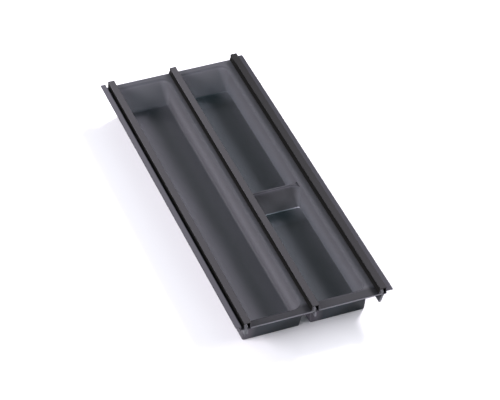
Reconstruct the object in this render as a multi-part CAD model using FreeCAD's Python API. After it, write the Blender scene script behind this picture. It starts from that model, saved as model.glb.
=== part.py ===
"""Modular cutlery tray for a drawer: two moulded troughs joined by three slide-on cap rails."""
import FreeCAD, Part
import os

V = FreeCAD.Vector

# Whole object. X runs across, Y along the rails toward the back, Z up from the drawer bottom.
length = 473.0            # troughs and rails alike, the clear inside depth of a 500 mm drawer
rail_pitch = 80.6         # left face of one cap to left face of the next

# Troughs
wall = 2.0                # floor, walls and rims
rim_height = 34.4         # underside of the trough to the top of its rims
back_rim = 9.0            # flat rim at the back
end_foot = 20.0           # end of the trough to the foot of its end wall, inside
left_draft = 2.0          # lean of the nearly upright left wall
fin_depth = 6.5           # band of the left wall that runs on to both ends under the cap
corner_top = 12.0         # inside corner radius at the rim
corner_foot = 3.0         # inside corner radius at the floor
floor_fillet = 1.2        # inside, where the walls meet the floor
outer_corner = 2.5        # outside corner radius of the walls
base_round = 1.0          # outside, where the walls meet the underside
plain_rim = 7.2           # left trough: cap to the inner edge of the right rim
plain_foot = 9.7          # left trough: cap to the foot of the right wall, inside
plain_front_rim = 11.0    # left trough: flat rim at the front
divided_rim = 10.5        # right trough: cap to the inner edge of the right rim
divided_foot = 11.5       # right trough: cap to the foot of the right wall, inside
divided_front_rim = 14.5  # right trough: flat rim at the front

# Saddle across the right trough
saddle_from_back = 253.5  # back end to the middle of the ridge
saddle_below_rim = 4.4
saddle_top = 2.8          # flat of the ridge

# Cap of every rail, an open hollow section
rail_rise = 7.6           # top of the rims to the top of the cap
cap_width = 8.2
cap_depth = 10.0          # right side of the cap, from its top
cap_wall = 0.8
cap_top = 1.2
cap_floor = 1.0
seam = 2.75               # left face of the cap to the plane where the two lips meet
lip = 1.0                 # thickness of each barbed lip
left_barb_drop = 3.2      # rail top to the foot of the left barb
right_barb_drop = 6.2     # rail top to the foot of the right barb
barb_foot = 0.6           # height of the barb's upright edge
head_flat = 0.3           # flat left at the tip of each lip
play = 0.2                # sliding clearance all round the lips
cap_round = 0.5           # rounding of the cap's top edges
skirt = 1.2               # spread of a cap's left side over the rim, at its foot
skirt_edge = 0.5          # upright edge at the foot of the skirt
skirt_height = 3.0        # foot of the cap to where the spread begins

# Gutter and ledge of the left edge rail
gutter_width = 3.4
gutter_depth = 8.4        # rail top to the gutter floor
gutter_wall = 0.9
left_ledge_width = 6.3
left_ledge_drop = 3.2     # rail top to the ledge
ledge_thickness = 1.3

# Plain ledge of the right edge rail
right_ledge_width = 7.7
right_ledge_drop = 4.8

# Keel strips of the two edge rails
left_leg_length = 8.1     # below the gutter
left_leg_width = 2.0
left_leg_lean = 0.6
right_leg_length = 9.8    # below the cap
right_leg_width = 2.4
right_leg_lean = 3.6      # lower end of the leg set toward the trough

# Heights and places that follow
height = rim_height + rail_rise
cap_bottom = height - cap_depth
inner_top = height - cap_top
lip_top = inner_top - play
barb = seam - lip - cap_wall - play
left_catch = height - left_barb_drop - play
right_catch = height - right_barb_drop - play
slot_left = seam - lip - play
slot_right = seam + lip + play
fin_top = cap_bottom - play
rim_under = rim_height - wall
gutter_floor = height - gutter_depth
gutter_bottom = gutter_floor - gutter_wall
left_reach = gutter_width + left_ledge_width
right_reach = cap_width + right_ledge_width
left_leg_bottom = gutter_bottom - left_leg_length
right_leg_bottom = cap_bottom - right_leg_length
saddle_height = rim_height - saddle_below_rim
end_slope = (end_foot - back_rim) / (rim_height - wall)

# The X origin is midway between the two outer ledge edges.
middle = (2 * rail_pitch + right_reach - left_reach) / 2
left_x = -middle
centre_x = left_x + rail_pitch
right_x = centre_x + rail_pitch
front = -length / 2
back = length / 2


def bar(x, outline):
    """Solid of the full length with the outline (across, height) measured from x."""
    points = [V(x + across, front, up) for across, up in outline]
    face = Part.Face(Part.makePolygon(points + points[:1]))
    return face.extrude(V(0, length, 0))


def rounded_wire(x0, x1, y0, y1, radius, z):
    """Closed wire of a level rectangle with round corners."""
    diagonal = radius * (1 - 0.5 ** 0.5)
    corners = [
        ((x1 - radius, y0), (x1 - diagonal, y0 + diagonal), (x1, y0 + radius)),
        ((x1, y1 - radius), (x1 - diagonal, y1 - diagonal), (x1 - radius, y1)),
        ((x0 + radius, y1), (x0 + diagonal, y1 - diagonal), (x0, y1 - radius)),
        ((x0, y0 + radius), (x0 + diagonal, y0 + diagonal), (x0 + radius, y0)),
    ]
    edges = []
    for index, (start, mid, end) in enumerate(corners):
        edges.append(Part.Arc(V(*start, z), V(*mid, z), V(*end, z)).toShape())
        following = corners[(index + 1) % 4][0]
        edges.append(Part.makeLine(V(*end, z), V(*following, z)))
    return Part.Wire(edges)


def tapered(lower, upper):
    """Solid between two level wires."""
    return Part.makeLoft([lower, upper], True, True)


def edges_at(solid, z):
    """Edges of the solid that lie in the level plane z."""
    return [e for e in solid.Edges if abs(e.BoundBox.ZMin - z) < 1e-4 and abs(e.BoundBox.ZMax - z) < 1e-4]


def left_lip():
    """Outline of the lip on a trough's left wall: its barb points right, into the cap."""
    stem = seam + lip
    foot = right_catch + play
    return [
        (seam, fin_top - wall), (stem, fin_top - wall), (stem, foot), (stem + barb, foot),
        (stem + barb, foot + barb_foot), (seam + head_flat, lip_top), (seam, lip_top),
    ]


def right_lip():
    """Outline of the lip on a trough's right rim: its barb points left, into the cap."""
    stem = seam - lip
    foot = left_catch + play
    return [
        (seam, rim_under), (seam, lip_top), (seam - head_flat, lip_top), (stem - barb, foot + barb_foot),
        (stem - barb, foot), (stem, foot), (stem, rim_under),
    ]


def saddle_outline(height_of_ridge, half_top, base):
    """Outline (along, height) of the saddle or of the hollow under it."""
    half_foot = half_top + end_slope * (height_of_ridge - base)
    return [(-half_foot, base), (-half_top, height_of_ridge), (half_top, height_of_ridge), (half_foot, base)]


def across_bar(x0, x1, y, outline):
    """Solid across the trough from x0 to x1 with the outline (along, height) measured from y."""
    points = [V(x0, y + along, up) for along, up in outline]
    face = Part.Face(Part.makePolygon(points + points[:1]))
    return face.extrude(V(x1 - x0, 0, 0))


def trough(x, rim_width, foot, front_rim, with_saddle):
    """Moulded trough between the cap whose left face is at x and the next cap."""
    next_x = x + rail_pitch
    inner_left = x + seam + wall
    inner_right = next_x - foot
    rim_right = next_x - rim_width
    outer = tapered(
        rounded_wire(inner_left + left_draft - wall, inner_right + wall, front + end_foot - wall,
                     back - end_foot + wall, outer_corner, 0),
        rounded_wire(inner_left - wall, rim_right + wall, front + front_rim - wall,
                     back - back_rim + wall, outer_corner, rim_under),
    )
    outer = outer.makeFillet(base_round, edges_at(outer, 0))
    cavity = tapered(
        rounded_wire(inner_left + left_draft, inner_right, front + end_foot, back - end_foot,
                     corner_foot, wall),
        rounded_wire(inner_left, rim_right, front + front_rim, back - back_rim, corner_top, rim_height),
    )
    cavity = cavity.makeFillet(floor_fillet, edges_at(cavity, wall))
    rim = Part.makeBox(rail_pitch, length, wall, V(x + seam, front, rim_under))
    fin = Part.makeBox(wall, length, fin_depth, V(x + seam, front, fin_top - fin_depth))
    body = outer.fuse([rim, fin])
    body = body.cut(Part.makeBox(cap_width + play, length, height, V(x, front, fin_top)))
    body = body.cut(cavity)
    if with_saddle:
        saddle_y = back - saddle_from_back
        ridge = across_bar(x, next_x, saddle_y, saddle_outline(saddle_height, saddle_top / 2, wall))
        hollow = across_bar(inner_left + left_draft + wall, inner_right - wall, saddle_y,
                            saddle_outline(saddle_height - wall, saddle_top / 2 - wall / 4, 0))
        body = body.fuse(ridge.common(cavity)).cut(hollow)
    body = body.fuse([bar(x, left_lip()), bar(next_x, right_lip())])
    return body.removeSplitter()


def cap_outline():
    """Outline of the cap from its inner left catch round the hollow and back to the slot."""
    rib = slot_right + cap_wall
    return [
        (cap_width, height), (cap_width, cap_bottom), (slot_right, cap_bottom), (slot_right, right_catch),
        (rib, right_catch), (rib, cap_bottom + cap_floor), (cap_width - cap_wall, cap_bottom + cap_floor),
        (cap_width - cap_wall, inner_top), (cap_wall, inner_top), (cap_wall, left_catch),
        (slot_left, left_catch),
    ]


def round_top(rail):
    """Rail with the two long top edges of its cap rounded."""
    tops = [e for e in edges_at(rail, height) if e.Length > length / 2]
    return rail.makeFillet(cap_round, tops)


def plain_left(bottom):
    """Left side of a cap without a ledge."""
    return [(slot_left, bottom), (-skirt, bottom), (-skirt, bottom + skirt_edge),
            (0, bottom + skirt_height), (0, height)]


def centre_rail():
    """Cap over the two lips between the troughs."""
    return round_top(bar(centre_x, plain_left(rim_height + play) + cap_outline()))


def left_edge_rail():
    """Cap with a gutter and a ledge outside its left wall."""
    ledge_top = height - left_ledge_drop
    outer_wall = gutter_width + gutter_wall
    side = [
        (slot_left, gutter_bottom), (-outer_wall, gutter_bottom), (-outer_wall, ledge_top - ledge_thickness),
        (-left_reach, ledge_top - ledge_thickness), (-left_reach, ledge_top), (-gutter_width, ledge_top),
        (-gutter_width, gutter_floor), (0, gutter_floor), (0, height),
    ]
    return round_top(bar(left_x, side + cap_outline()))


def right_edge_rail():
    """Cap with a plain ledge outside its right wall."""
    ledge_top = height - right_ledge_drop
    cap = bar(right_x, plain_left(rim_height + play) + cap_outline())
    ledge = bar(right_x, [
        (cap_width - cap_wall, ledge_top), (right_reach, ledge_top),
        (right_reach, ledge_top - ledge_thickness), (cap_width - cap_wall, ledge_top - ledge_thickness),
    ])
    return round_top(cap.fuse(ledge).removeSplitter())


def left_keel_strip():
    """Barbed strip in the left half of the left cap, its leg outside the trough's left wall."""
    face = seam - play
    tip = slot_left - barb
    return bar(left_x, [
        (face, lip_top), (face - head_flat, lip_top), (tip, left_catch + barb_foot), (tip, left_catch),
        (slot_left, left_catch), (slot_left, gutter_bottom), (face - left_leg_width, gutter_bottom),
        (face - left_leg_width - left_leg_lean, left_leg_bottom + left_leg_width / 2),
        (face - left_leg_width, left_leg_bottom), (face - left_leg_width / 4, left_leg_bottom),
        (face, left_leg_bottom + left_leg_width / 2),
    ])


def right_keel_strip():
    """Barbed strip in the right half of the right cap, its leg slanting under the rim."""
    face = seam + play
    tip = slot_right + barb
    shoulder = face + right_leg_width
    return bar(right_x, [
        (face, lip_top), (face, cap_bottom - play),
        (face - right_leg_lean, right_leg_bottom + right_leg_width / 2),
        (face - right_leg_lean, right_leg_bottom), (shoulder - right_leg_lean, right_leg_bottom),
        (shoulder, cap_bottom), (slot_right, cap_bottom), (slot_right, right_catch), (tip, right_catch),
        (tip, right_catch + barb_foot), (face + head_flat, lip_top),
    ])


pieces = {
    "left_tray": trough(left_x, plain_rim, plain_foot, plain_front_rim, False),
    "right_tray": trough(centre_x, divided_rim, divided_foot, divided_front_rim, True),
    "left_edge_rail": left_edge_rail(),
    "centre_rail": centre_rail(),
    "right_edge_rail": right_edge_rail(),
    "left_keel_strip": left_keel_strip(),
    "right_keel_strip": right_keel_strip(),
}

os.makedirs("parts", exist_ok=True)
for name, shape in pieces.items():
    shape.exportStep(f"parts/{name}.step")
    print(name, shape.ShapeType, len(shape.Solids), shape.isValid(), round(shape.Volume), shape.BoundBox)
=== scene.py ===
"""Looks of a modular cutlery tray: two smoked troughs, three black cap rails and two keel strips."""
import math

import bmesh
import bpy
from mathutils import Matrix, Vector


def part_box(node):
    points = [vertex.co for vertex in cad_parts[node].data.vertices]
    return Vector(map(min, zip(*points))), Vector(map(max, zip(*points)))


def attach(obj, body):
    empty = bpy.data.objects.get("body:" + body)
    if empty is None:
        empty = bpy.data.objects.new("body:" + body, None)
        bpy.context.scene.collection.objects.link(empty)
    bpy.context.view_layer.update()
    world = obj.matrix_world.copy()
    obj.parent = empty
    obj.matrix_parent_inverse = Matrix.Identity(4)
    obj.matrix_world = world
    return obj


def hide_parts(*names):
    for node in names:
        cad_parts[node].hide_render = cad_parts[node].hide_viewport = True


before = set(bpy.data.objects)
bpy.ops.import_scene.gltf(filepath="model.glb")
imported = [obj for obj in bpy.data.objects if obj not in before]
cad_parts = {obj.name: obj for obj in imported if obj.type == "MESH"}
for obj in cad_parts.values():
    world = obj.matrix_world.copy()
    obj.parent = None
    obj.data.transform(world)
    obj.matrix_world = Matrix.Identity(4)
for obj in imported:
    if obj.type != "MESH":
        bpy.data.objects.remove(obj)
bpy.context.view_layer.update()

bl_info = {
    "name": "Cutlery Tray",
    "version": (1, 0, 0),
    "blender": (4, 5, 0),
    "location": "View3D > Sidebar > Tray",
    "description": "Smoked drawer troughs joined by slide-on cap rails",
    "category": "Add Mesh",
}

MM = 0.001
TINY = 1e-6
# Joined meshes overlap by this much, so that no two of their faces lie in one plane.
OVERLAP = 0.02 * MM
# Cutting blocks reach this far past what they cut.
SPARE = 4 * MM

# Faces across each kind of rounding
CORNER_STEPS = 8
OUTER_CORNER_STEPS = 5
RIM_STEPS = 6
ROUND_STEPS = 4
FOOT_STEPS = 3
BROKEN_EDGE_STEPS = 2

# Two sizes of a cap that its place depends on
CAP_ACROSS = 8.2 * MM
SKIRT = 1.2 * MM

# Places read from the frame; a cap's place is its left face, over the skirt
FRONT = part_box("centre_rail")[0].y
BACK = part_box("centre_rail")[1].y
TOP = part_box("centre_rail")[1].z
LEFT_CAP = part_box("left_edge_rail")[1].x - CAP_ACROSS
CENTRE_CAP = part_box("centre_rail")[1].x - CAP_ACROSS
RIGHT_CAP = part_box("right_edge_rail")[0].x + SKIRT
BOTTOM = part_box("left_tray")[0].z


def size(name, description, millimetres):
    """Length property whose default is given in millimetres."""
    return bpy.props.FloatProperty(
        name=name, description=description, default=millimetres * MM, unit="LENGTH", precision=5
    )


def paint(name, description, code):
    """Colour property whose default is an sRGB hex value."""
    return bpy.props.FloatVectorProperty(
        name=name, description=description, default=linear(code)[:3], subtype="COLOR", min=0, max=1
    )


def linear(code):
    """Linear colour with alpha from an sRGB hex value."""
    parts = [int(code[i:i + 2], 16) / 255 for i in (1, 3, 5)]
    return tuple(c / 12.92 if c <= 0.04045 else ((c + 0.055) / 1.055) ** 2.4 for c in parts) + (1.0,)


class TroughSizes(bpy.types.PropertyGroup):
    """Sizes of the two moulded troughs."""
    wall: size("Wall", "Thickness of floor, walls and rims", 2.0)
    rim_height: size("Rim height", "Underside of the trough to the top of its rims", 34.4)
    back_rim: size("Back rim", "Flat rim at the back", 9.0)
    end_foot: size("End foot", "End of the trough to the foot of its end wall", 20.0)
    left_draft: size("Left draft", "Lean of the nearly upright left wall", 2.0)
    fin_depth: size("Fin depth", "Band of the left wall that runs on under the cap", 6.5)
    corner_top: size("Corner at rim", "Inside corner radius at the rim", 12.0)
    corner_foot: size("Corner at floor", "Inside corner radius at the floor", 3.0)
    outer_corner: size("Outer corner", "Outside corner radius of the walls", 2.5)
    base_round: size("Base rounding", "Outside, where the walls meet the underside", 1.0)
    plain_rim: size("Left trough rim", "Cap to the inner edge of the right rim", 7.2)
    plain_foot: size("Left trough foot", "Cap to the foot of the right wall", 9.7)
    plain_front_rim: size("Left trough front rim", "Flat rim at the front", 11.0)
    divided_rim: size("Right trough rim", "Cap to the inner edge of the right rim", 10.5)
    divided_foot: size("Right trough foot", "Cap to the foot of the right wall", 11.5)
    divided_front_rim: size("Right trough front rim", "Flat rim at the front", 14.5)
    rim_round: size("Rim rounding", "Where the walls turn over into the rim", 2.6)
    foot_round: size("Foot rounding", "Where the walls meet the floor of the right trough", 0.9)
    plain_foot_round: size("Left foot rounding", "Where the walls meet the floor of the left trough", 2.6)
    edge_round: size("Rim edge rounding", "Front and back edges of the rims", 0.7)
    saddle_from_back: size("Saddle place", "Back end to the middle of the ridge", 253.5)
    saddle_drop: size("Saddle drop", "Rim to the ridge", 4.4)
    saddle_top: size("Saddle ridge", "Width of the ridge, roundings included", 2.8)
    saddle_corner: size("Saddle flare", "Saddle's flare into the long walls at the floor", 3.0)
    saddle_corner_top: size("Saddle flare at rim", "Saddle's flare into the long walls at rim height", 11.0)
    back_flare: bpy.props.FloatProperty(
        name="Back flare", description="Flare behind the saddle as a share of the flare in front",
        default=0.15, subtype="FACTOR",
    )
    ridge_round: size("Ridge rounding", "Rounding along the ridge", 1.0)


class RailSizes(bpy.types.PropertyGroup):
    """Sizes of the cap rails and of the lips and strips that they grip."""
    cap_width: size("Cap width", "Across one cap", CAP_ACROSS / MM)
    cap_depth: size("Cap depth", "Right side of the cap, from its top", 10.0)
    cap_wall: size("Cap wall", "Thickness of the cap's sides", 0.8)
    cap_top: size("Cap top", "Thickness of the cap's top", 1.2)
    cap_floor: size("Cap floor", "Thickness of the cap's returned floor", 1.0)
    cap_round: size("Cap rounding", "Rounding of the cap's top edges", 0.7)
    edge_round: size("Edge rounding", "Rounding of every other long edge", 0.15)
    skirt: size("Skirt", "Spread of a cap's left side over the rim, at its foot", SKIRT / MM)
    skirt_edge: size("Skirt edge", "Upright edge at the foot of the skirt", 0.5)
    skirt_height: size("Skirt height", "Foot of the cap to where the spread begins", 3.0)
    seam: size("Seam", "Left face of the cap to the plane where two lips meet", 2.75)
    lip: size("Lip", "Thickness of each barbed lip", 1.0)
    left_barb_drop: size("Left barb", "Rail top to the foot of the left barb", 3.2)
    right_barb_drop: size("Right barb", "Rail top to the foot of the right barb", 6.2)
    barb_foot: size("Barb edge", "Height of the barb's upright edge", 0.6)
    head_flat: size("Lip tip", "Flat at the tip of each lip", 0.3)
    play: size("Play", "Sliding clearance all round the lips", 0.2)
    gutter_width: size("Gutter width", "Groove beside the left cap", 3.4)
    gutter_depth: size("Gutter depth", "Rail top to the gutter floor", 8.4)
    gutter_wall: size("Gutter wall", "Thickness of the gutter", 0.9)
    left_ledge: size("Left ledge", "Width of the ledge beyond the gutter", 6.3)
    left_ledge_drop: size("Left ledge drop", "Rail top to the left ledge", 3.2)
    right_ledge: size("Right ledge", "Width of the ledge beyond the right cap", 7.7)
    right_ledge_drop: size("Right ledge drop", "Rail top to the right ledge", 4.8)
    ledge_thickness: size("Ledge thickness", "Thickness of both ledges", 1.3)
    left_leg: size("Left leg", "Length of the left keel below the gutter", 8.1)
    left_leg_width: size("Left leg width", "Thickness of the left keel's leg", 2.0)
    left_leg_lean: size("Left leg lean", "Bulge of the left keel's leg", 0.6)
    right_leg: size("Right leg", "Length of the right keel below the cap", 9.8)
    right_leg_width: size("Right leg width", "Thickness of the right keel's leg", 2.4)
    right_leg_lean: size("Right leg lean", "Lower end of the right leg set toward the trough", 3.6)


class TrayColours(bpy.types.PropertyGroup):
    """Colours of the three plastics and of the floor."""
    smoke: paint("Smoke grey", "Satin smoked plastic of the troughs", "#6f6f72")
    smoke_shade: paint("Smoke grey, deep", "Darker drift in the smoked plastic", "#676769")
    # The shares below are painted shade on the troughs' level faces, deepest on the front rims, and painted
    # light on the right floor beside its wall.
    floor_shade: paint("Floor depth", "Share of the smoke colour left on the left floor", "#dfdfe3")
    divided_floor_shade: paint("Right floor depth", "The same share on the right trough's floor", "#a6b2b6")
    divided_floor_lit: paint("Right floor beside the wall", "The same share beside the right wall", "#e4e5e7")
    rim_shade: paint("Rim depth", "Share of the smoke colour left on the rims", "#b4b5b7")
    front_rim_shade: paint("Front rim depth", "Share of the smoke colour left on the front rims", "#626365")
    ridge_shade: paint("Ridge depth", "Share of the smoke colour left on the saddle's ridge", "#98999b")
    smoke_glow: paint("Smoke glow", "Light that comes through the walls of the troughs", "#dedce4")
    black: paint("Black", "Extruded black plastic of the rails", "#141412")
    # Painted sheen: the ledges are painted greyer than the caps in place of the sheen that they show.
    painted_ledge_sheen: paint("Rubbed black", "Black plastic of the ledges, greyed by rubbing", "#303034")
    strip: paint("Strip grey", "Softer grey plastic of the keel strips", "#4c4d50")
    paper: paint("Paper white", "Pale floor", "#ececea")


class StudioSettings(bpy.types.PropertyGroup):
    """Camera of the stage."""
    lens: bpy.props.FloatProperty(
        name="Lens", description="Focal length on a 36 mm sensor", default=172.8, unit="CAMERA"
    )
    place: bpy.props.FloatVectorProperty(
        name="Camera", description="Where the camera stands", default=(-0.7687, -2.0475, 1.808),
        subtype="TRANSLATION",
    )
    aim: bpy.props.FloatVectorProperty(
        name="Aim", description="Point in the middle of the view", default=(0.0016, -0.0313, 0.034),
        subtype="TRANSLATION",
    )


# Meshes

def bevel(bm, geom, radius, steps, affect="EDGES"):
    """Rounds edges or corners."""
    bmesh.ops.bevel(
        bm, geom=geom, offset=radius, offset_type="OFFSET", segments=steps, profile=0.5,
        affect=affect, clamp_overlap=True, material=-1,
    )


def new_verts(made):
    """Vertices that an operator returns."""
    return [item for item in made["geom"] if isinstance(item, bmesh.types.BMVert)]


def everything(bm):
    """All geometry of a mesh, as the cutting operators take it."""
    return bm.verts[:] + bm.edges[:] + bm.faces[:]


def open_edges(bm):
    """Edges with a face on one side only."""
    return [e for e in bm.edges if len(e.link_faces) == 1]


def level(item, z):
    """True if an edge or face lies in the level plane z."""
    return all(abs(v.co.z - z) < TINY for v in item.verts)


def bar(outline, start, end):
    """Closed mesh of an outline (across, height) drawn along Y."""
    bm = bmesh.new()
    face = bm.faces.new([bm.verts.new((across, start, up)) for across, up in outline])
    grown = bmesh.ops.extrude_face_region(bm, geom=[face])
    bmesh.ops.translate(bm, verts=new_verts(grown), vec=(0, end - start, 0))
    bmesh.ops.recalc_face_normals(bm, faces=bm.faces)
    return bm


def across_bar(outline, start, end):
    """Closed mesh of an outline (along, height) drawn across the tray."""
    bm = bar(outline, -end, -start)
    quarter_turn = Matrix.Rotation(math.radians(90), 3, "Z")
    bmesh.ops.rotate(bm, verts=bm.verts, cent=(0, 0, 0), matrix=quarter_turn)
    return bm


def block(x0, x1, y0, y1, z0, z1):
    """Closed mesh of a plain box."""
    return bar([(x0, z0), (x1, z0), (x1, z1), (x0, z1)], y0, y1)


def ring(bm, x0, x1, y0, y1, z, left_radius, right_radius, steps):
    """Level rectangle with round corners; returns its face and its edges."""
    corners = [bm.verts.new((x, y, z)) for x, y in ((x0, y0), (x1, y0), (x1, y1), (x0, y1))]
    bm.faces.new(corners)
    bevel(bm, [corners[0], corners[3]], left_radius, steps, "VERTICES")
    bevel(bm, [corners[1], corners[2]], right_radius, steps, "VERTICES")
    face = next(f for f in bm.faces if level(f, z))
    return face, list(face.edges)


def rounded_bar(outline, shift, sizes):
    """Extruded strip: a cap's top left edge well rounded, every other long edge just broken."""
    bm = bar(moved(outline, shift), FRONT, BACK)
    along = [e for e in bm.edges if abs(e.verts[0].co.y - e.verts[1].co.y) > (BACK - FRONT) / 2]
    leading = [e for e in along if level(e, TOP) and abs(e.verts[0].co.x - shift) < TINY]
    bevel(bm, [e for e in along if e not in leading], sizes.edge_round, BROKEN_EDGE_STEPS)
    leading = [e for e in bm.edges if level(e, TOP) and all(abs(v.co.x - shift) < TINY for v in e.verts)]
    bevel(bm, leading, sizes.cap_round, ROUND_STEPS)
    return bm


def sharp(edge, degrees):
    """True if the faces beside an edge turn by more than this."""
    return len(edge.link_faces) == 2 and edge.calc_face_angle(0) > math.radians(degrees)


def cavity(cap, next_cap, rim, foot, front_rim, foot_round, trough, rail):
    """Closed mesh of the open space in and over a trough, down to its floor and round its rims."""
    bm = bmesh.new()
    inner_left = cap + rail.seam + trough.wall
    cap_edge = cap + rail.cap_width + rail.play
    floor_z, rim_z = BOTTOM + trough.wall, BOTTOM + trough.rim_height
    foot_edges = ring(
        bm, inner_left + trough.left_draft, next_cap - foot, FRONT + trough.end_foot, BACK - trough.end_foot,
        floor_z, trough.corner_foot, trough.corner_foot, CORNER_STEPS,
    )[1]
    x0, x1, y0, y1 = inner_left, next_cap - rim, FRONT + front_rim, BACK - trough.back_rim
    mouth, mouth_edges = ring(
        bm, x0, x1, y0, y1, rim_z, cap_edge - inner_left, trough.corner_top, CORNER_STEPS,
    )
    bmesh.ops.delete(bm, geom=[mouth], context="FACES_ONLY")
    bmesh.ops.bridge_loops(bm, edges=foot_edges + mouth_edges)
    bmesh.ops.recalc_face_normals(bm, faces=bm.faces)
    foot_edges = [e for e in bm.edges if level(e, floor_z) and sharp(e, degrees=20)]
    bevel(bm, foot_edges, foot_round, ROUND_STEPS)

    # The rims run out from the mouth past both caps, and the space wraps over their ends.
    mouth_edges = [e for e in open_edges(bm) if level(e, rim_z)]
    rims = bmesh.ops.extrude_edge_only(bm, edges=mouth_edges)
    past_cap = 12 * MM
    for v in new_verts(rims):
        to_side = min(v.co.x - x0, x1 - v.co.x)
        to_end = min(v.co.y - y0, y1 - v.co.y)
        if to_side <= to_end + TINY:
            v.co.x = cap - past_cap if v.co.x < (x0 + x1) / 2 else next_cap + past_cap
        if to_end <= to_side + TINY:
            v.co.y = FRONT if v.co.y < 0 else BACK
    bevel(bm, mouth_edges, trough.rim_round, RIM_STEPS)
    skirt = bmesh.ops.extrude_edge_only(bm, edges=open_edges(bm))
    bmesh.ops.translate(bm, verts=new_verts(skirt), vec=(0, 0, -2 * trough.wall))
    ends = [
        e for e in bm.edges if level(e, rim_z) and sharp(e, degrees=45)
        and any(all(abs(v.co.y - end) < TINY for v in e.verts) for end in (FRONT, BACK))
    ]
    bevel(bm, ends, trough.edge_round, ROUND_STEPS)

    # Beyond the rims it spreads, rises clear of the trough and closes.
    spread = (1.5, 1.1, 1)
    centre = Matrix.Translation((-(x0 + x1) / 2, 0, 0))
    grown = bmesh.ops.extrude_edge_only(bm, edges=open_edges(bm))
    bmesh.ops.scale(bm, vec=spread, space=centre, verts=new_verts(grown))
    grown = bmesh.ops.extrude_edge_only(bm, edges=open_edges(bm))
    bmesh.ops.translate(bm, vec=(0, 0, 2 * TOP), verts=new_verts(grown))
    bmesh.ops.contextual_create(bm, geom=open_edges(bm))
    bmesh.ops.recalc_face_normals(bm, faces=bm.faces)
    return bm


def outside_walls(cap, next_cap, rim, foot, front_rim, trough, rail):
    """Closed mesh of the trough's outer form, run a little way up into the rim plate."""
    bm = bmesh.new()
    inner_left = cap + rail.seam + trough.wall
    rise = trough.rim_height - trough.wall
    share = (rise + trough.wall / 2) / rise
    low = (inner_left + trough.left_draft - trough.wall, next_cap - foot + trough.wall,
           FRONT + trough.end_foot - trough.wall, BACK - trough.end_foot + trough.wall)
    high = (inner_left - trough.wall, next_cap - rim + trough.wall,
            FRONT + front_rim - trough.wall, BACK - trough.back_rim + trough.wall)
    upper = [a + (b - a) * share for a, b in zip(low, high)]
    corners = (trough.outer_corner, trough.outer_corner, OUTER_CORNER_STEPS)
    under_edges = ring(bm, *low, BOTTOM, *corners)[1]
    lid_edges = ring(bm, *upper, BOTTOM + rise * share, *corners)[1]
    bmesh.ops.bridge_loops(bm, edges=under_edges + lid_edges)
    bmesh.ops.recalc_face_normals(bm, faces=bm.faces)
    bevel(bm, [e for e in bm.edges if level(e, BOTTOM)], trough.base_round, FOOT_STEPS)
    return bm


def end_slope(trough):
    """Lean of the end walls and of the saddle's sides, along over up."""
    return (trough.end_foot - trough.back_rim) / (trough.rim_height - trough.wall)


def saddle_half(trough):
    """Middle of the saddle to its foot on the floor."""
    rise = trough.rim_height - trough.saddle_drop - trough.wall
    return trough.saddle_top / 2 + end_slope(trough) * rise


def saddle(cap, next_cap, rim, foot, trough, rail):
    """Closed mesh of the cross ridge, flared where it runs into the long walls and the floor."""
    floor = BOTTOM + trough.wall
    ridge = BOTTOM + trough.rim_height - trough.saddle_drop
    half_top = trough.saddle_top / 2
    half_foot = saddle_half(trough)
    toe = half_foot + 2 * trough.wall
    sunk = floor - OVERLAP
    deep = floor - trough.wall / 2

    # It is drawn a metre for each station first, and the stations are then set to their places.
    stations = 4
    bm = across_bar([(-toe, deep), (-toe, sunk), (-half_foot, sunk), (-half_top, ridge),
                     (half_top, ridge), (half_foot, sunk), (toe, sunk), (toe, deep)],
                    -stations - 1, stations + 1)
    across = [e for e in bm.edges if abs(e.verts[0].co.x - e.verts[1].co.x) > stations]
    feet = [e for e in across if level(e, sunk) and abs(e.verts[0].co.y) < half_foot + TINY]
    bevel(bm, [e for e in across if level(e, ridge)], trough.ridge_round, ROUND_STEPS)
    bevel(bm, feet, trough.foot_round, FOOT_STEPS)
    for station in (*range(-stations, 0), *range(1, stations + 1)):
        bmesh.ops.bisect_plane(
            bm, geom=everything(bm), dist=TINY, plane_co=(station, 0, 0), plane_no=(1, 0, 0)
        )

    # On each side they follow a hollow fillet toward the wall, and the last one lies inside the wall.
    fillet_step = 25
    for v in bm.verts:
        station = round(v.co.x)
        rise = (v.co.z - floor) / (trough.rim_height - trough.wall)
        flare = trough.saddle_corner - (trough.saddle_corner - trough.saddle_corner_top) * rise
        turn = math.radians(fillet_step * (min(abs(station), stations) - 1))
        inward = flare * (1 - math.sin(turn))
        along = flare * (1 - math.cos(turn))
        if abs(station) > stations:
            along += (inward + trough.wall / 2) * math.tan(turn)
            inward = -trough.wall / 2
        if station < 0:
            v.co.x = cap + rail.seam + trough.wall + trough.left_draft * (1 - rise) + inward
        else:
            v.co.x = next_cap - foot + (foot - rim) * rise - inward
        v.co.y += along * trough.back_flare if v.co.y > 0 else -along
    bmesh.ops.translate(bm, verts=bm.verts, vec=(0, BACK - trough.saddle_from_back, 0))
    bmesh.ops.recalc_face_normals(bm, faces=bm.faces)
    return bm


def saddle_hollow(cap, next_cap, foot, trough, rail):
    """Closed mesh of the space under the saddle."""
    ridge = BOTTOM + trough.rim_height - trough.saddle_drop - trough.wall
    half_top = (trough.saddle_top - trough.wall / 2) / 2
    half_foot = half_top + end_slope(trough) * (ridge - BOTTOM)
    place = BACK - trough.saddle_from_back
    return across_bar(
        [(place - half_foot, BOTTOM - SPARE), (place - half_foot, BOTTOM), (place - half_top, ridge),
         (place + half_top, ridge), (place + half_foot, BOTTOM), (place + half_foot, BOTTOM - SPARE)],
        cap + rail.seam + 2 * trough.wall + trough.left_draft, next_cap - foot - trough.wall,
    )


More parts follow.
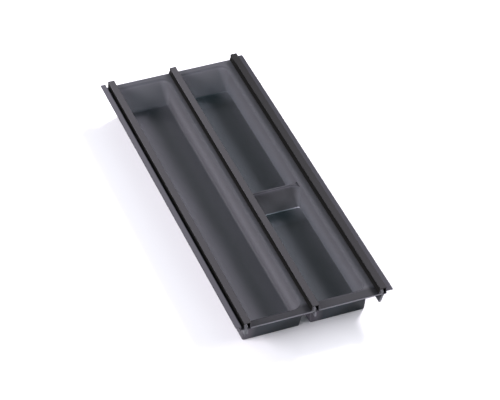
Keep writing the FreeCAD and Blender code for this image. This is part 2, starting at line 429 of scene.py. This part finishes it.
def left_lip(trough, rail):
    """Outline of the lip on a trough's left wall; its barb points right."""
    catch = TOP - rail.right_barb_drop
    tip = TOP - rail.cap_top - rail.play
    base = TOP - rail.cap_depth - rail.play - trough.wall
    stem = rail.seam + rail.lip
    barb = stem + rail.seam - rail.lip - rail.cap_wall - rail.play
    return [(rail.seam, base), (stem, base), (stem, catch), (barb, catch), (barb, catch + rail.barb_foot),
            (rail.seam + rail.head_flat, tip), (rail.seam, tip)]


def right_lip(trough, rail):
    """Outline of the lip on a trough's right rim; its barb points left."""
    catch = TOP - rail.left_barb_drop
    tip = TOP - rail.cap_top - rail.play
    base = BOTTOM + trough.rim_height - trough.wall + OVERLAP
    stem = rail.seam - rail.lip
    barb = rail.cap_wall + rail.play
    return [(rail.seam, base), (rail.seam, tip), (rail.seam - rail.head_flat, tip),
            (barb, catch + rail.barb_foot), (barb, catch), (stem, catch), (stem, base)]


def moved(outline, shift):
    """Outline set at a place across the tray."""
    return [(shift + across, up) for across, up in outline]


def to_object(bm, name):
    """New object of a bmesh, which is freed."""
    mesh = bpy.data.meshes.new(name)
    bm.to_mesh(mesh)
    bm.free()
    made = bpy.data.objects.new(name, mesh)
    bpy.context.scene.collection.objects.link(made)
    return made


def combine(base, bm, operation):
    """Joins a closed mesh to an object, or takes it away from it."""
    tool = to_object(bm, "tool")
    step = base.modifiers.new("step", "BOOLEAN")
    step.operation = operation
    step.solver = "EXACT"
    step.object = tool
    shaped = bpy.data.meshes.new_from_object(base.evaluated_get(bpy.context.evaluated_depsgraph_get()))
    if not shaped.polygons:
        raise RuntimeError(f"Nothing is left of {base.name}")
    base.modifiers.clear()
    spent = base.data
    base.data = shaped
    bpy.data.meshes.remove(spent)
    bpy.data.meshes.remove(tool.data)


def make_trough(name, cap, next_cap, rim, foot, front_rim, divided, trough, rail):
    """One moulded trough with its lips."""
    rim_under = BOTTOM + trough.rim_height - trough.wall
    fin_top = TOP - rail.cap_depth - rail.play
    front, back = FRONT - SPARE, BACK + SPARE
    made = to_object(outside_walls(cap, next_cap, rim, foot, front_rim, trough, rail), name)
    plate_left, plate_right = cap + rail.seam + 1.5 * trough.wall, next_cap + rail.seam - rail.lip / 2
    plate = block(plate_left, plate_right, front, back, rim_under, rim_under + trough.wall + SPARE)
    combine(made, plate, "UNION")
    foot_round = trough.foot_round if divided else trough.plain_foot_round
    combine(made, cavity(cap, next_cap, rim, foot, front_rim, foot_round, trough, rail), "DIFFERENCE")
    if divided:
        combine(made, saddle(cap, next_cap, rim, foot, trough, rail), "UNION")
        combine(made, saddle_hollow(cap, next_cap, foot, trough, rail), "DIFFERENCE")
    under_cap = block(cap - SPARE, cap + rail.cap_width + rail.play, front, back, fin_top, 2 * TOP)
    combine(made, under_cap, "DIFFERENCE")
    fin = block(cap + rail.seam, cap + rail.seam + trough.wall, FRONT, BACK,
                fin_top - trough.fin_depth, fin_top - OVERLAP)
    combine(made, fin, "UNION")
    for lip, place in ((left_lip(trough, rail), cap), (right_lip(trough, rail), next_cap)):
        combine(made, bar(moved(lip, place), FRONT + OVERLAP, BACK - OVERLAP), "UNION")
    return made


def cap_outline(rail):
    """Outline of a cap from its top right corner round the hollow to the slot."""
    bottom = TOP - rail.cap_depth
    inner_top = TOP - rail.cap_top
    slot_right = rail.seam + rail.lip + rail.play
    slot_left = rail.seam - rail.lip - rail.play
    right_catch = TOP - rail.right_barb_drop - rail.play
    left_catch = TOP - rail.left_barb_drop - rail.play
    rib = slot_right + rail.cap_wall
    side = rail.cap_width - rail.cap_wall
    return [
        (rail.cap_width, TOP), (rail.cap_width, bottom), (slot_right, bottom), (slot_right, right_catch),
        (rib, right_catch), (rib, bottom + rail.cap_floor), (side, bottom + rail.cap_floor),
        (side, inner_top), (rail.cap_wall, inner_top), (rail.cap_wall, left_catch), (slot_left, left_catch),
    ]


def plain_left(trough, rail):
    """Left side of a cap without a ledge."""
    bottom = BOTTOM + trough.rim_height + rail.play
    return [(rail.seam - rail.lip - rail.play, bottom), (-rail.skirt, bottom),
            (-rail.skirt, bottom + rail.skirt_edge), (0, bottom + rail.skirt_height), (0, TOP)]


def gutter_left(rail):
    """Left side of the left cap, with its gutter and ledge."""
    floor = TOP - rail.gutter_depth
    under = floor - rail.gutter_wall
    ledge = TOP - rail.left_ledge_drop
    outer = -rail.gutter_width - rail.gutter_wall
    reach = -rail.gutter_width - rail.left_ledge
    return [
        (rail.seam - rail.lip - rail.play, under), (outer, under), (outer, ledge - rail.ledge_thickness),
        (reach, ledge - rail.ledge_thickness), (reach, ledge), (-rail.gutter_width, ledge),
        (-rail.gutter_width, floor), (0, floor), (0, TOP),
    ]


def ledge_right(trough, rail):
    """Whole outline of the right cap, with the ledge on its right side."""
    ledge = TOP - rail.right_ledge_drop
    reach = rail.cap_width + rail.right_ledge
    cap = cap_outline(rail)
    return plain_left(trough, rail) + [
        cap[0], (rail.cap_width, ledge), (reach, ledge), (reach, ledge - rail.ledge_thickness),
        (rail.cap_width, ledge - rail.ledge_thickness),
    ] + cap[1:]


def left_keel(rail):
    """Outline of the strip in the left half of the left cap."""
    face = rail.seam - rail.play
    slot = rail.seam - rail.lip - rail.play
    tip = rail.cap_wall
    catch = TOP - rail.left_barb_drop - rail.play
    top = TOP - rail.cap_top - rail.play
    under = TOP - rail.gutter_depth - rail.gutter_wall
    low = under - rail.left_leg
    leg = face - rail.left_leg_width
    return [
        (face, top), (face - rail.head_flat, top), (tip, catch + rail.barb_foot), (tip, catch), (slot, catch),
        (slot, under), (leg, under), (leg - rail.left_leg_lean, low + rail.left_leg_width / 2), (leg, low),
        (face - rail.left_leg_width / 4, low), (face, low + rail.left_leg_width / 2),
    ]


def right_keel(rail):
    """Outline of the strip in the right half of the right cap, its leg slanting under the rim."""
    face = rail.seam + rail.play
    slot = rail.seam + rail.lip + rail.play
    tip = slot + rail.seam - rail.lip - rail.cap_wall - rail.play
    catch = TOP - rail.right_barb_drop - rail.play
    top = TOP - rail.cap_top - rail.play
    under = TOP - rail.cap_depth
    low = under - rail.right_leg
    shoulder = face + rail.right_leg_width
    lean = rail.right_leg_lean
    return [
        (face, top), (face, under - rail.play), (face - lean, low + rail.right_leg_width / 2),
        (face - lean, low), (shoulder - lean, low), (shoulder, under), (slot, under), (slot, catch),
        (tip, catch), (tip, catch + rail.barb_foot), (face + rail.head_flat, top),
    ]


# Limits of a face's normal on an outside wall, and on the left and the right side of a rail
DOWNWARD = -0.01
LEFT_SIDE = -0.8
RIGHT_SIDE = 0.2
# Faces that turn by less than this are shaded as one.
SMOOTH_TURN = math.radians(32)


def looks_down(normal):
    """True on the outside of a trough, whose walls all lean out."""
    return normal.z < DOWNWARD


def is_side(normal):
    """True on the sides of a rail and on the roundings that lead to its right sides."""
    return normal.x < LEFT_SIDE or normal.x > RIGHT_SIDE


def dress(piece, node, body, material, second=None, takes_second=None):
    """Shades a piece and sets it in the frame for its CAD node; some faces may take a second material."""
    piece.data.materials.clear()
    piece.data.materials.append(material)
    if second:
        piece.data.materials.append(second)
    for face in piece.data.polygons:
        face.material_index = 1 if second and takes_second(face.normal) else 0
    piece.data.shade_smooth()
    piece.data.set_sharp_from_angle(angle=SMOOTH_TURN)
    even = piece.modifiers.new("Even shading", "WEIGHTED_NORMAL")
    even.keep_sharp = True
    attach(piece, body)
    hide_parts(node)


# Materials

# Sockets of a Mix node go by number: its two colours and the mixed colour, and its two values.
COLOUR_A, COLOUR_B, MIXED = 6, 7, 2
VALUE_A, VALUE_B = 2, 3


def add(tree, kind, settings=None, links=None):
    """Node with its settings and its incoming links; a socket goes by its name or number."""
    made = tree.nodes.new(kind)
    for key, value in (settings or {}).items():
        if isinstance(key, int) or key in made.inputs:
            made.inputs[key].default_value = value
        else:
            setattr(made, key, value)
    for socket, source in (links or {}).items():
        tree.links.new(source, made.inputs[socket])
    return made


def new_material(name):
    """Empty node material and its tree."""
    material = bpy.data.materials.new(name)
    material.use_nodes = True
    material.node_tree.nodes.clear()
    return material, material.node_tree


def colour(value, share=1.0):
    """Colour property, or a share of it, as a socket takes it."""
    return (*(share * c for c in value), 1.0)


# Heights on a trough between which one tone turns into the next
FLOOR_TO_RIDGE = {"From Min": 4 * MM, "From Max": 20 * MM}
RIDGE_TO_RIM = {"From Min": 30.5 * MM, "From Max": 32.5 * MM}
WALL_FADE = {"From Min": 16 * MM, "From Max": 33 * MM}
FACE_FADE = {"From Min": 3 * MM, "From Max": 30 * MM}
FOOT_LINE = {"From Min": 2.7 * MM, "From Max": 3.0 * MM}
# The same along the trough: behind its front rim, on both sides of the tray's middle, and from a wall's foot
FRONT_RIM = {"From Min": FRONT + 11 * MM, "From Max": FRONT + 16 * MM}
SADDLE_REACH = {"From Min": 50 * MM, "From Max": 60 * MM}
NEXT_COMPARTMENT = 1 * MM
FAR_FLOOR_REACH = 26 * MM
# The same across the trough: from its right wall, and from the left end of its front wall
FLOOR_FADE = 27 * MM
LEFT_END_FADE = (6 * MM, 17 * MM)
# Limits of a face's normal: upward, toward the left and toward the front
LEVEL_FACE = {"From Min": 0.25, "From Max": 0.92}
LEFTWARD_FACE = {"From Min": -0.9, "From Max": -0.6}
FORWARD_FACE = {"From Min": -0.6, "From Max": -0.3}
# A range that ends at nothing
FALLING = {"To Min": 1.0, "To Max": 0.0}
# Gains of painted light and shade: on the right walls at the rim, and on the saddle's front face low down, at
# the ridge and in the painted highlight along its foot
WALL_GAIN_HIGH = 0.8
FACE_GAIN_LOW = 1.7
FACE_GAIN_HIGH = 0.5
PAINTED_FOOT_HIGHLIGHT = 6.2
# Painted light on the outside colour at the left end of a front wall, and the cooler tone of the painted
# shade elsewhere
LEFT_END_LIGHT_GAIN = (1.85, 1.8, 1.8, 1.0)
OUTSIDE_SHADE_TONE = (0.78, 0.96, 0.94, 1.0)
# Faint drift of tone in the moulded plastic, and how much of the light comes through it
DRIFT_WIDTH = 70 * MM
LET_THROUGH = 0.35
# The grain is about 0.2 mm on the real part, and coarser here so that it shows.
GRAIN_WIDTH = 0.9 * MM
GRAIN_DEPTH = 0.1 * MM


def painted_level_shade(tree, at, colours, floors, foot, walls, painted_far_light):
    """Painted shade: the share of the colour that is left on level faces, floor, ridge and rims, which
    darkens them.
    """
    # Painted light: the floor is painted paler toward the wall behind each compartment.
    wall_behind = add(tree, "ShaderNodeMapRange", {
        "From Min": walls[0], "From Max": walls[0] + NEXT_COMPARTMENT, "To Min": walls[0], "To Max": walls[1],
    }, {"Value": at["Y"]})
    forward_by = add(tree, "ShaderNodeMath", {"operation": "SUBTRACT"},
                     {0: wall_behind.outputs[0], 1: at["Y"]})
    far_floor_light = add(tree, "ShaderNodeMapRange", {
        "From Min": 0.0, "From Max": FAR_FLOOR_REACH, "To Min": painted_far_light, "To Max": 1.0,
    }, {"Value": forward_by.outputs[0]})
    # Painted light: the floor can be painted paler beside the right wall.
    beside = add(tree, "ShaderNodeMapRange", {
        "interpolation_type": "SMOOTHSTEP", "From Min": foot - FLOOR_FADE, "From Max": foot,
    }, {"Value": at["X"]})
    floor = add(tree, "ShaderNodeMix", {
        "data_type": "RGBA", COLOUR_A: colour(floors[0]), COLOUR_B: colour(floors[1]),
    }, {"Factor": beside.outputs[0]})
    floor_tone = add(tree, "ShaderNodeVectorMath", {"operation": "SCALE"},
                     {"Vector": floor.outputs[MIXED], "Scale": far_floor_light.outputs[0]})
    rise = add(tree, "ShaderNodeMapRange", FLOOR_TO_RIDGE, {"Value": at["Z"]})
    low = add(tree, "ShaderNodeMix", {"data_type": "RGBA", COLOUR_B: colour(colours.ridge_shade)},
              {"Factor": rise.outputs[0], COLOUR_A: floor_tone.outputs[0]})
    # Painted shade: the front rims, over the outside walls, are painted the deepest.
    behind = add(tree, "ShaderNodeMapRange", FRONT_RIM, {"Value": at["Y"]})
    rims = add(tree, "ShaderNodeMix", {
        "data_type": "RGBA", COLOUR_A: colour(colours.front_rim_shade), COLOUR_B: colour(colours.rim_shade),
    }, {"Factor": behind.outputs[0]})
    at_rim = add(tree, "ShaderNodeMapRange", RIDGE_TO_RIM, {"Value": at["Z"]})
    share = add(tree, "ShaderNodeMix", {"data_type": "RGBA"},
                {"Factor": at_rim.outputs[0], COLOUR_A: low.outputs[MIXED], COLOUR_B: rims.outputs[MIXED]})
    return share.outputs[MIXED]


def painted_wall_light(tree, at, facing, painted_wall_gain):
    """Gain of painted light and shade on the colour of the right walls and of the saddle's front face; 1 on
    other faces.
    """
    # Painted light: the long right walls are painted palest low down and deeper toward the rim.
    right_wall = add(tree, "ShaderNodeMapRange", LEFTWARD_FACE | FALLING, {"Value": facing["X"]})
    on_wall = add(tree, "ShaderNodeMapRange", WALL_FADE | {"To Min": painted_wall_gain, "To Max": WALL_GAIN_HIGH},
                  {"Value": at["Z"]})
    # Painted light and shade: the saddle's front face is painted paler low down and deeper at the ridge so
    # that it looks even, with a painted highlight line along its foot.
    aside = add(tree, "ShaderNodeMath", {"operation": "ABSOLUTE"}, {0: at["Y"]})
    middle = add(tree, "ShaderNodeMapRange", SADDLE_REACH | FALLING, {"Value": aside.outputs[0]})
    forward = add(tree, "ShaderNodeMapRange", FORWARD_FACE | FALLING, {"Value": facing["Y"]})
    saddle_front = add(tree, "ShaderNodeMath", {"operation": "MINIMUM"},
                       {0: middle.outputs[0], 1: forward.outputs[0]})
    up_face = add(tree, "ShaderNodeMapRange", FACE_FADE | {"To Min": FACE_GAIN_LOW, "To Max": FACE_GAIN_HIGH},
                  {"Value": at["Z"]})
    off_foot = add(tree, "ShaderNodeMapRange", FOOT_LINE, {"Value": at["Z"]})
    on_saddle = add(tree, "ShaderNodeMix", {"data_type": "FLOAT", VALUE_A: PAINTED_FOOT_HIGHLIGHT},
                    {"Factor": off_foot.outputs[0], VALUE_B: up_face.outputs[0]})
    elsewhere = add(tree, "ShaderNodeMix", {"data_type": "FLOAT", VALUE_A: 1.0},
                    {"Factor": saddle_front.outputs[0], VALUE_B: on_saddle.outputs[0]})
    gain = add(tree, "ShaderNodeMix", {"data_type": "FLOAT"},
               {"Factor": right_wall.outputs[0], VALUE_A: elsewhere.outputs[0], VALUE_B: on_wall.outputs[0]})
    return gain.outputs[0]


def painted_left_end_light(tree, at, edge, sources):
    """Outside colours with painted light: the left end of the front wall is painted paler, fading within a
    short way, in place of light from the bright side wall.
    """
    past_edge = add(tree, "ShaderNodeMapRange", {
        "interpolation_type": "SMOOTHSTEP",
        "From Min": edge + LEFT_END_FADE[0], "From Max": edge + LEFT_END_FADE[1],
    }, {"Value": at["X"]})
    fade = add(tree, "ShaderNodeMix", {"data_type": "RGBA", COLOUR_A: LEFT_END_LIGHT_GAIN, COLOUR_B: OUTSIDE_SHADE_TONE},
               {"Factor": past_edge.outputs[0]})
    return [
        add(tree, "ShaderNodeMix", {"data_type": "RGBA", "blend_type": "MULTIPLY", "Factor": 1.0},
            {COLOUR_A: source, COLOUR_B: fade.outputs[MIXED]}).outputs[MIXED]
        for source in sources
    ]


def smoked_polystyrene(name, colours, floors, foot, walls, share=1.0, through=1.0, painted_wall_gain=1.0,
                       painted_far_light=1.0, edge=None):
    """Moulded satin polystyrene: even smoke grey with a faint drift of tone and a fine eggshell grain, under
    painted light and shade.

    floors are the shares left at the left and right of the floor, and foot is where the right wall meets it.
    walls are the feet of the walls behind the compartments, and edge is the left end of an outside.
    """
    material, tree = new_material(name)
    place = add(tree, "ShaderNodeTexCoord").outputs["Object"]
    normal = add(tree, "ShaderNodeNewGeometry").outputs["Normal"]
    at = add(tree, "ShaderNodeSeparateXYZ", links={"Vector": place}).outputs
    facing = add(tree, "ShaderNodeSeparateXYZ", links={"Vector": normal}).outputs
    drift = add(tree, "ShaderNodeTexNoise", {"Scale": 1 / DRIFT_WIDTH, "Detail": 2.0, "Roughness": 0.5},
                {"Vector": place})
    tone = add(tree, "ShaderNodeMix", {
        "data_type": "RGBA",
        COLOUR_A: colour(colours.smoke_shade, share), COLOUR_B: colour(colours.smoke, share),
    }, {"Factor": drift.outputs["Fac"]})
    lifted = add(tree, "ShaderNodeVectorMath", {"operation": "SCALE"},
                 {"Vector": tone.outputs[MIXED], "Scale": painted_wall_light(tree, at, facing, painted_wall_gain)})
    # Painted shade: level faces keep less of the colour than the standing walls, so they look deeper.
    level_face = add(tree, "ShaderNodeMapRange", LEVEL_FACE, {"Value": facing["Z"]})
    left_over = painted_level_shade(tree, at, colours, floors, foot, walls, painted_far_light)
    skin = add(tree, "ShaderNodeMix", {"data_type": "RGBA", "blend_type": "MULTIPLY"}, {
        "Factor": level_face.outputs[0], COLOUR_A: lifted.outputs[0], COLOUR_B: left_over,
    }).outputs[MIXED]
    lit = add(tree, "ShaderNodeMix", {
        "data_type": "RGBA", "blend_type": "MULTIPLY", COLOUR_A: colour(colours.smoke_glow, through),
    }, {"Factor": level_face.outputs[0], COLOUR_B: left_over}).outputs[MIXED]
    if edge is not None:
        skin, lit = painted_left_end_light(tree, at, edge, (skin, lit))
    grain = add(tree, "ShaderNodeTexNoise", {"Scale": 1 / GRAIN_WIDTH, "Detail": 1.0, "Roughness": 0.5},
                {"Vector": place})
    gloss = add(tree, "ShaderNodeMapRange", {"To Min": 0.3, "To Max": 0.42}, {"Value": grain.outputs["Fac"]})
    bump = add(tree, "ShaderNodeBump", {"Strength": 0.06, "Distance": GRAIN_DEPTH},
               {"Height": grain.outputs["Fac"]})
    shader = add(tree, "ShaderNodeBsdfPrincipled", {"IOR": 1.59, "Specular IOR Level": 0.18},
                 {"Base Color": skin, "Roughness": gloss.outputs[0], "Normal": bump.outputs[0]})
    glow = add(tree, "ShaderNodeBsdfTranslucent", links={"Color": lit})
    both = add(tree, "ShaderNodeMixShader", {"Fac": LET_THROUGH}, {1: shader.outputs[0], 2: glow.outputs[0]})
    add(tree, "ShaderNodeOutputMaterial", links={"Surface": both.outputs[0]})
    return material


# Die lines run along the whole rail.
DIE_LINE_WIDTH = 0.6 * MM
DIE_LINE_LENGTH = 400 * MM
DIE_LINE_DEPTH = 0.05 * MM
# Painted reflection: the sheen of the black is tinted lavender like the lights.
PAINTED_SHEEN_TINT = (0.98, 0.93, 1.0, 1.0)
# Heights between which the plastic turns from the painted grey of the ledges to black
LEDGE_TO_CAP = {"From Min": TOP - 2.6 * MM, "From Max": TOP - 1.6 * MM}


def black_abs(name, colours, ledge_tone, roughness, sheen):
    """Extruded ABS: deep black with a satin sheen and faint lengthwise die lines, and painted sheen on its
    ledges.
    """
    material, tree = new_material(name)
    place = add(tree, "ShaderNodeTexCoord").outputs["Object"]
    at = add(tree, "ShaderNodeSeparateXYZ", links={"Vector": place}).outputs
    stretch = add(tree, "ShaderNodeMapping", {
        "Scale": (1 / DIE_LINE_WIDTH, 1 / DIE_LINE_LENGTH, 1 / DIE_LINE_WIDTH),
    }, {"Vector": place})
    lines = add(tree, "ShaderNodeTexNoise", {"Scale": 1.0, "Detail": 2.0, "Roughness": 0.5},
                {"Vector": stretch.outputs[0]})
    tone = add(tree, "ShaderNodeMix", {
        "data_type": "RGBA", COLOUR_A: colour(colours.black, 0.8), COLOUR_B: colour(colours.black, 1.2),
    }, {"Factor": lines.outputs["Fac"]})
    # Painted sheen: the ledges, lower than the caps, are painted greyer than the caps in place of the sheen
    # that they show.
    painted_ledge_sheen = add(tree, "ShaderNodeMapRange", LEDGE_TO_CAP | FALLING, {"Value": at["Z"]})
    with_ledge_sheen = add(tree, "ShaderNodeMix", {"data_type": "RGBA", COLOUR_B: colour(ledge_tone)},
               {"Factor": painted_ledge_sheen.outputs[0], COLOUR_A: tone.outputs[MIXED]})
    gloss = add(tree, "ShaderNodeMapRange", {"To Min": roughness[0], "To Max": roughness[1]},
                {"Value": lines.outputs["Fac"]})
    bump = add(tree, "ShaderNodeBump", {"Strength": 0.03, "Distance": DIE_LINE_DEPTH},
               {"Height": lines.outputs["Fac"]})
    shader = add(tree, "ShaderNodeBsdfPrincipled", {
        "IOR": 1.54, "Specular Tint": PAINTED_SHEEN_TINT, "Specular IOR Level": sheen[0],
    }, {"Base Color": with_ledge_sheen.outputs[MIXED], "Roughness": gloss.outputs[0], "Normal": bump.outputs[0]})
    if sheen[0] != sheen[1]:
        # Painted sheen: the shine of a rail's top is set to change from its front end to its back end, as the
        # light on it does.
        along = add(tree, "ShaderNodeMapRange", {
            "From Min": FRONT, "From Max": BACK, "To Min": sheen[0], "To Max": sheen[1],
        }, {"Value": at["Y"]})
        tree.links.new(along.outputs[0], shader.inputs["Specular IOR Level"])
    add(tree, "ShaderNodeOutputMaterial", links={"Surface": shader.outputs[0]})
    return material


CLOUD_WIDTH = 3 * MM


def grey_pvc(colours):
    """Soft extruded PVC: matt dark grey with a slightly cloudy surface."""
    material, tree = new_material("Grey PVC, soft extruded")
    place = add(tree, "ShaderNodeTexCoord").outputs["Object"]
    cloud = add(tree, "ShaderNodeTexNoise", {"Scale": 1 / CLOUD_WIDTH, "Detail": 2.0}, {"Vector": place})
    tone = add(tree, "ShaderNodeMix", {
        "data_type": "RGBA", COLOUR_A: colour(colours.strip, 0.85), COLOUR_B: colour(colours.strip, 1.15),
    }, {"Factor": cloud.outputs["Fac"]})
    gloss = add(tree, "ShaderNodeMapRange", {"To Min": 0.5, "To Max": 0.65}, {"Value": cloud.outputs["Fac"]})
    shader = add(tree, "ShaderNodeBsdfPrincipled", {"IOR": 1.53},
                 {"Base Color": tone.outputs[MIXED], "Roughness": gloss.outputs[0]})
    add(tree, "ShaderNodeOutputMaterial", links={"Surface": shader.outputs[0]})
    return material


def stage_paper(colours):
    """Matt white background paper."""
    material, tree = new_material("Paper, matt white")
    shader = add(tree, "ShaderNodeBsdfPrincipled", {"Base Color": colour(colours.paper), "Roughness": 0.9})
    add(tree, "ShaderNodeOutputMaterial", links={"Surface": shader.outputs[0]})
    return material


# Stage

LIGHT_DISTANCE = 2.5
LAVENDER = (1.03, 0.975, 1.08)
# Bearing (degrees, from the right over the back), elevation (degrees), width, height (metres), watts
LIGHTS = {
    "left softbox": (187, 33, 2.4, 0.8, 88),
    "right key": (38.5, 34, 0.55, 0.55, 103),
    "right front softbox": (330, 33, 0.9, 0.9, 23),
    "front fill": (270, 14, 1.6, 0.6, 12),
    "back left strip": (122, 30, 1.3, 0.5, 14),
    "back softbox": (70, 40, 1.4, 1.4, 8.8),
}
# Light from all round
ROOM_COLOUR = (0.72, 1.0, 1.02, 1)
ROOM_STRENGTH = 0.21
# Half the side of the floor, and the sensor that the lens is given for
FLOOR_HALF = 12
SENSOR = 36


def softbox(name, bearing, elevation, width, height, watts):
    """Rectangular soft light that faces the tray."""
    lamp = bpy.data.lights.new(name, "AREA")
    lamp.shape = "RECTANGLE"
    lamp.size = width
    lamp.size_y = height
    lamp.energy = watts
    lamp.color = LAVENDER
    made = bpy.data.objects.new(name, lamp)
    bearing, elevation = math.radians(bearing), math.radians(elevation)
    level_reach = LIGHT_DISTANCE * math.cos(elevation)
    made.location = (level_reach * math.cos(bearing), level_reach * math.sin(bearing),
                     LIGHT_DISTANCE * math.sin(elevation))
    made.rotation_euler = (-made.location).to_track_quat("-Z", "Y").to_euler()
    bpy.context.scene.collection.objects.link(made)


class TRAY_OT_troughs(bpy.types.Operator):
    """Make the plain left trough and the divided right trough"""
    bl_idname = "cutlery_tray.troughs"
    bl_label = "Troughs"

    def execute(self, context):
        scene = context.scene
        trough, rail = scene.tray_troughs, scene.tray_rails
        colours = scene.tray_colours
        far_foot = BACK - trough.end_foot
        saddle_foot = BACK - trough.saddle_from_back - saddle_half(trough)
        left_foot, right_foot = CENTRE_CAP - trough.plain_foot, RIGHT_CAP - trough.divided_foot
        even = (colours.floor_shade, colours.floor_shade)
        plain = smoked_polystyrene(
            "Smoked polystyrene, satin moulded", colours, even, left_foot, (far_foot, far_foot),
            painted_wall_gain=1.28, painted_far_light=1.35,
        )
        divided = smoked_polystyrene(
            "Smoked polystyrene, divided", colours, (colours.divided_floor_shade, colours.divided_floor_lit),
            right_foot, (saddle_foot, far_foot), painted_wall_gain=1.05, painted_far_light=2.3,
        )
        # Painted shade: the outsides keep a tenth of the colour and a third of the light let through, in
        # place of the shade of the rims.
        outside = [
            smoked_polystyrene(
                name, colours, even, left_foot, (far_foot, far_foot), share=0.10, through=0.33,
                edge=cap + rail.seam + trough.left_draft,
            )
            for name, cap in (("Smoked polystyrene, left outside", LEFT_CAP),
                              ("Smoked polystyrene, right outside", CENTRE_CAP))
        ]
        left = make_trough("left_trough", LEFT_CAP, CENTRE_CAP, trough.plain_rim, trough.plain_foot,
                           trough.plain_front_rim, False, trough, rail)
        dress(left, "left_tray", "troughs", plain, outside[0], looks_down)
        right = make_trough("right_trough", CENTRE_CAP, RIGHT_CAP, trough.divided_rim, trough.divided_foot,
                            trough.divided_front_rim, True, trough, rail)
        dress(right, "right_tray", "troughs", divided, outside[1], looks_down)
        return {"FINISHED"}


class TRAY_OT_rails(bpy.types.Operator):
    """Make the three black cap rails"""
    bl_idname = "cutlery_tray.rails"
    bl_label = "Cap rails"

    def execute(self, context):
        scene = context.scene
        trough, rail = scene.tray_troughs, scene.tray_rails
        colours = scene.tray_colours
        black = black_abs(
            "Black ABS, extruded", colours, colours.painted_ledge_sheen, roughness=(0.13, 0.19), sheen=(0.40, 0.46)
        )
        # Painted shade: the right rail's top is given less sheen and a little more roughness, so it shines
        # much less.
        plain = black_abs(
            "Black ABS, extruded, low sheen", colours, colours.painted_ledge_sheen,
            roughness=(0.16, 0.22), sheen=(0.22, 0.10),
        )
        # The sides are given far less sheen and more roughness than the top, so they come out duller.
        dull = black_abs(
            "Black ABS, dull sides", colours, colours.black, roughness=(0.6, 0.75), sheen=(0.04, 0.04)
        )
        rails = (
            ("left_cap_rail", LEFT_CAP, gutter_left(rail) + cap_outline(rail), "left_edge_rail",
             "left_rail", black),
            ("centre_cap_rail", CENTRE_CAP, plain_left(trough, rail) + cap_outline(rail), "centre_rail",
             "middle_rail", black),
            ("right_cap_rail", RIGHT_CAP, ledge_right(trough, rail), "right_edge_rail", "right_rail", plain),
        )
        for name, cap, outline, node, body, top in rails:
            made = to_object(rounded_bar(outline, cap, rail), name)
            dress(made, node, body, top, dull, is_side)
        return {"FINISHED"}


class TRAY_OT_keel_strips(bpy.types.Operator):
    """Make the keel strips of the two outer rails"""
    bl_idname = "cutlery_tray.keel_strips"
    bl_label = "Keel strips"

    def execute(self, context):
        scene = context.scene
        rail = scene.tray_rails
        grey = grey_pvc(scene.tray_colours)
        for name, cap, outline, node, body in (
            ("left_keel", LEFT_CAP, left_keel(rail), "left_keel_strip", "left_rail"),
            ("right_keel", RIGHT_CAP, right_keel(rail), "right_keel_strip", "right_rail"),
        ):
            made = to_object(rounded_bar(outline, cap, rail), name)
            dress(made, node, body, grey)
        return {"FINISHED"}


class TRAY_OT_stage(bpy.types.Operator):
    """Make the pale floor, the soft lights and the camera"""
    bl_idname = "cutlery_tray.stage"
    bl_label = "Stage"

    def execute(self, context):
        scene = context.scene
        studio = scene.tray_studio
        floor = bmesh.new()
        bmesh.ops.create_grid(floor, x_segments=1, y_segments=1, size=FLOOR_HALF)
        ground = to_object(floor, "floor")
        ground.data.materials.append(stage_paper(scene.tray_colours))

        for name, settings in LIGHTS.items():
            softbox(name, *settings)

        world = bpy.data.worlds.new("Studio")
        world.use_nodes = True
        background = world.node_tree.nodes["Background"]
        background.inputs["Color"].default_value = ROOM_COLOUR
        background.inputs["Strength"].default_value = ROOM_STRENGTH
        scene.world = world

        view = bpy.data.cameras.new("photo view")
        view.lens = studio.lens
        view.sensor_width = SENSOR
        camera = bpy.data.objects.new("photo view", view)
        camera.location = studio.place
        toward = Vector(studio.aim) - Vector(studio.place)
        camera.rotation_euler = toward.to_track_quat("-Z", "Y").to_euler()
        scene.collection.objects.link(camera)
        scene.camera = camera
        scene.view_settings.view_transform = "Standard"
        return {"FINISHED"}


class TRAY_PT_panel(bpy.types.Panel):
    """Sidebar list of the makers and of their sizes and colours"""
    bl_label = "Cutlery tray"
    bl_idname = "TRAY_PT_panel"
    bl_space_type = "VIEW_3D"
    bl_region_type = "UI"
    bl_category = "Tray"

    def draw(self, context):
        for maker in MAKERS:
            self.layout.operator(maker.bl_idname)
        for group in GROUPS:
            settings = getattr(context.scene, group)
            for name in settings.bl_rna.properties.keys():
                if name not in ("rna_type", "name"):
                    self.layout.prop(settings, name)


MAKERS = (TRAY_OT_troughs, TRAY_OT_rails, TRAY_OT_keel_strips, TRAY_OT_stage)
GROUPS = {
    "tray_troughs": TroughSizes,
    "tray_rails": RailSizes,
    "tray_colours": TrayColours,
    "tray_studio": StudioSettings,
}


def register():
    for kind in (*GROUPS.values(), *MAKERS, TRAY_PT_panel):
        bpy.utils.register_class(kind)
    for name, kind in GROUPS.items():
        setattr(bpy.types.Scene, name, bpy.props.PointerProperty(type=kind))


def unregister():
    for name in GROUPS:
        delattr(bpy.types.Scene, name)
    for kind in reversed((*GROUPS.values(), *MAKERS, TRAY_PT_panel)):
        bpy.utils.unregister_class(kind)


def main():
    register()
    bpy.ops.cutlery_tray.troughs()
    bpy.ops.cutlery_tray.rails()
    bpy.ops.cutlery_tray.keel_strips()
    bpy.ops.cutlery_tray.stage()


if __name__ == "__main__":
    main()
